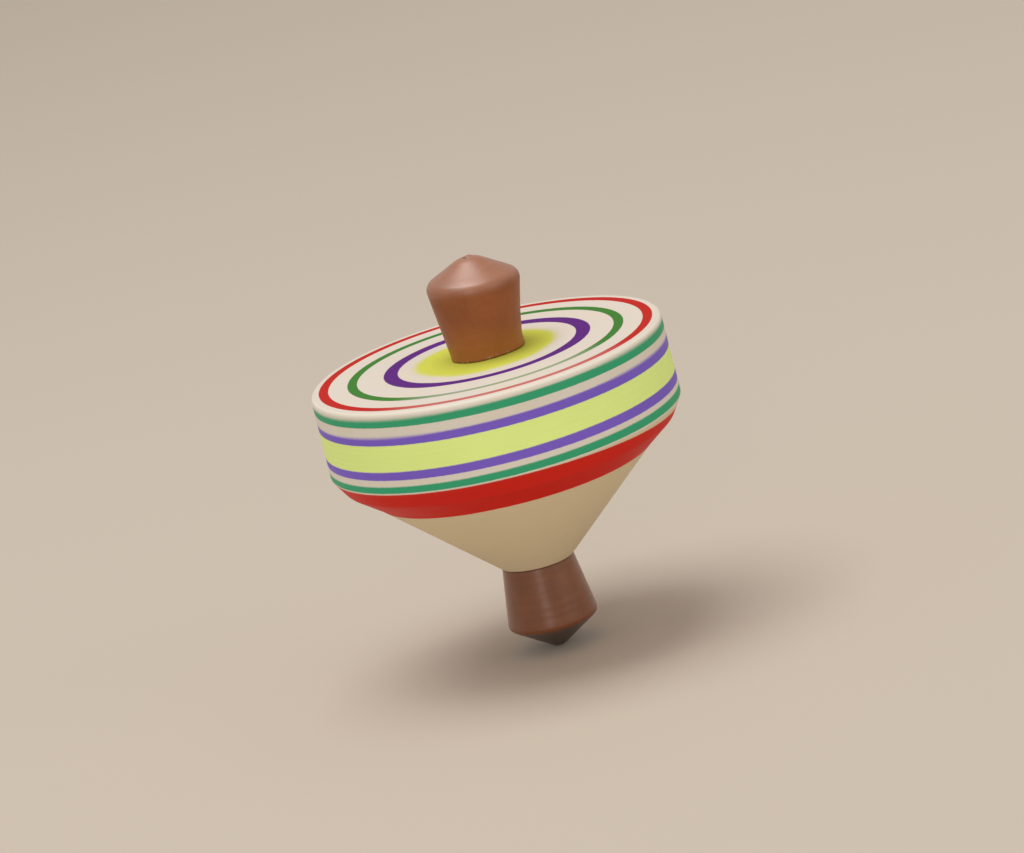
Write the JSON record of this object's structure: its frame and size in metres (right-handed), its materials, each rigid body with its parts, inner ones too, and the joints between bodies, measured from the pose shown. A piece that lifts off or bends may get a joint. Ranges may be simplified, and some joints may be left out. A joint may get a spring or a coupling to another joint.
{
  "type": "spinning top",
  "caption": "Finger spinning top: a wide painted wooden disc on a cone, with a flared turned handle above and a flared foot ending in a blunt tip below.",
  "frame": {"origin": "tip of the foot, on the spin axis, where the top touches the table as it spins", "axes": "+Z along the spin axis from the tip to the handle; X and Y are any two directions across it, because the top is a body of revolution"},
  "size_m": [0.0494, 0.0494, 0.0563],
  "materials": {
    "painted_body": "cream paint with coloured rings and bands under satin lacquer",
    "brown_handle": "brown paint, satin lacquer, fine turning lines",
    "brown_foot": "brown paint, satin lacquer, fine turning lines, worn at the tip",
    "bare_dowel": "unfinished dowel with glue"
  },
  "bodies": {
    "root": {"body": "painted_body", "handle": "brown_handle", "foot": "brown_foot", "spindle": "bare_dowel"}
  },
  "joints": []
}
